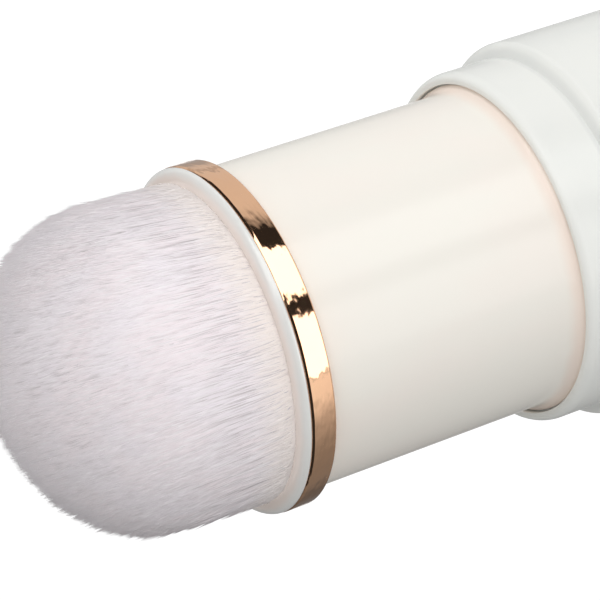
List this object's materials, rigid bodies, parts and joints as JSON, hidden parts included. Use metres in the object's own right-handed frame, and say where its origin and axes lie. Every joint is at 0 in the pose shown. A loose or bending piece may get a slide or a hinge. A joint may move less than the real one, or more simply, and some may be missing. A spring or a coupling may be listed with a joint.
{
  "type": "retractable makeup brush",
  "caption": "Round makeup brush whose dome of soft bristles winds down into its barrel when the barrel is twisted in the handle; polished trim ring at the mouth.",
  "frame": {"origin": "centre of the flat base that the brush stands on", "axes": "+Z along the brush's axis, from the base towards the bristles; the barrel turns and the bristles travel on this axis"},
  "size_m": [0.036, 0.036, 0.1058],
  "materials": {
    "handle_white": "cool white, soft gloss",
    "barrel_cream": "warm off-white, glossy",
    "lip_white": "white, glossy",
    "rose_gold": "polished rose gold plating",
    "bristle": "soft white synthetic hair with a pale pink tint",
    "inner_plastic": "natural white moulding",
    "slip_plastic": "grey low-friction moulding",
    "steel": "plain steel",
    "aluminium": "satin",
    "rubber": "matte black",
    "glue": "set resin"
  },
  "bodies": {
    "handle": {"handle_shell": "handle_white", "neck_bush": "slip_plastic", "handle_liner": "inner_plastic", "base_cap": "handle_white", "base_weight": "steel", "drive_spindle": "inner_plastic", "spindle_screw": "steel", "screw_washer": "steel", "thrust_washer": "slip_plastic"},
    "barrel": {"barrel_tube": "barrel_cream", "barrel_foot": "inner_plastic", "drag_ring": "rubber", "guide_sleeve": "inner_plastic", "mouth_lip": "lip_white", "trim_ring": "rose_gold"},
    "carriage": {"lift_tube": "inner_plastic", "drive_nut": "slip_plastic", "brush_cup": "aluminium", "glue_plug": "glue", "bristle_head": "bristle"}
  },
  "joints": [
    {"name": "barrel_twist", "type": "hinge", "parent": "handle", "child": "barrel", "pos_m": [0, 0, 0], "axis": [0, 0, 1], "range_deg": [-540, 0]},
    {"name": "bristle_lift", "type": "slide", "parent": "barrel", "child": "carriage", "axis": [0, 0, 1], "range_m": [-0.0225, 0], "deforming": ["bristle_head"]}
  ],
  "couplings": [
    {"joint": "barrel_twist", "follows": "bristle_lift", "rad_per_m": 418.88}
  ]
}
